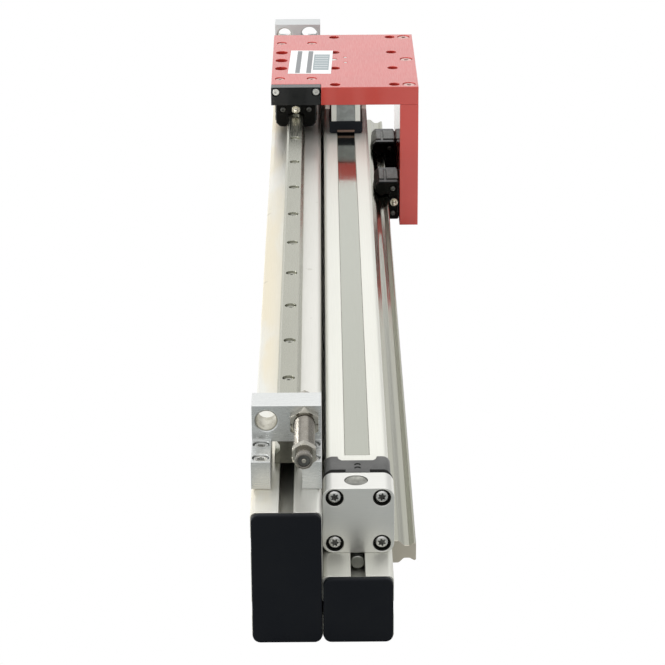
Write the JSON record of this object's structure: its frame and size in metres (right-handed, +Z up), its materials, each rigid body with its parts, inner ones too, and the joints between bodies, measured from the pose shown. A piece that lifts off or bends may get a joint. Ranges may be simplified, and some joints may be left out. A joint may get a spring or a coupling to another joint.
{
  "type": "linear guide carriage",
  "caption": "Pneumatic linear slide unit: an angle carriage on runner blocks rides two profile rails, driven by a rodless cylinder between end stops.",
  "frame": {"origin": "centre of the unit's footprint on the surface it stands on, at the bottom of the profiles", "axes": "+Z up, +Y along the travel from the shock absorber end to the far end, +X from the tall profile towards the carriage's side plate"},
  "size_m": [0.1194, 0.976, 0.1195],
  "materials": {
    "anodised_aluminium": "natural silver anodised extrusion, satin, fine lengthwise draw lines",
    "milled_aluminium": "milled and clear anodised, satin with faint tool marks",
    "red_anodised": "red anodised plate, satin",
    "black_anodised": "black anodised, satin",
    "rail_steel": "ground bearing steel with lengthwise grind lines",
    "runner_steel": "ground bearing steel, darkened",
    "band_steel": "thin stainless steel strip, finely brushed",
    "chrome": "nickel plated, fine thread",
    "screw_steel": "zinc plated steel",
    "brass": "bright brass",
    "black_plastic": "moulded black plastic, fine texture",
    "grey_plastic": "moulded dark grey plastic, fine texture"
  },
  "bodies": {
    "guide_unit": {"tall_profile": "anodised_aluminium", "low_profile": "anodised_aluminium", "tall_front_end_cap": "black_plastic", "low_front_end_cap": "black_plastic", "tall_rear_end_cap": "black_plastic", "low_rear_end_cap": "black_plastic", "top_rail": "rail_steel", "side_rail": "rail_steel", "front_stop_bracket": "milled_aluminium", "front_bracket_screw_1": "screw_steel", "front_bracket_screw_2": "screw_steel", "front_bracket_screw_3": "screw_steel", "front_bracket_screw_4": "screw_steel", "rear_stop_bracket": "milled_aluminium", "rear_bracket_screw_1": "screw_steel", "rear_bracket_screw_2": "screw_steel", "rear_bracket_screw_3": "screw_steel", "rear_bracket_screw_4": "screw_steel", "shock_absorber_body": "chrome", "shock_front_lock_nut": "chrome", "shock_rear_lock_nut": "chrome", "cylinder_barrel": "anodised_aluminium", "front_cylinder_head": "milled_aluminium", "front_head_screw_1": "screw_steel", "front_head_screw_2": "screw_steel", "front_head_screw_3": "screw_steel", "front_head_screw_4": "screw_steel", "front_band_clamp": "grey_plastic", "rear_cylinder_head": "milled_aluminium", "rear_head_screw_1": "screw_steel", "rear_head_screw_2": "screw_steel", "rear_head_screw_3": "screw_steel", "rear_head_screw_4": "screw_steel", "rear_band_clamp": "grey_plastic", "front_port_plug": "milled_aluminium", "cover_band": "band_steel", "sealing_band": "band_steel"},
    "carriage": {"carriage_top_plate": "red_anodised", "carriage_side_plate": "red_anodised", "stop_plate": "black_anodised", "driver_bar": "milled_aluminium", "wiper_housing": "black_plastic", "piston": "milled_aluminium", "top_front_runner": "runner_steel", "top_front_runner_front_cap": "black_plastic", "top_front_runner_rear_cap": "black_plastic", "top_front_runner_nipple": "brass", "top_rear_runner": "runner_steel", "top_rear_runner_front_cap": "black_plastic", "top_rear_runner_rear_cap": "black_plastic", "top_rear_runner_nipple": "brass", "side_front_runner": "runner_steel", "side_front_runner_front_cap": "black_plastic", "side_front_runner_rear_cap": "black_plastic", "side_front_runner_nipple": "brass", "side_rear_runner": "runner_steel", "side_rear_runner_front_cap": "black_plastic", "side_rear_runner_rear_cap": "black_plastic", "side_rear_runner_nipple": "brass"},
    "shock_plunger": {"shock_rod": "chrome"}
  },
  "joints": [
    {"name": "carriage_slide", "type": "slide", "parent": "guide_unit", "child": "carriage", "axis": [0, 1, 0], "range_m": [-0.597, 0.025]},
    {"name": "shock_rod_slide", "type": "slide", "parent": "guide_unit", "child": "shock_plunger", "axis": [0, 1, 0], "range_m": [-0.009, 0], "stiffness_N_per_m": 500, "springref_m": 0.006}
  ]
}
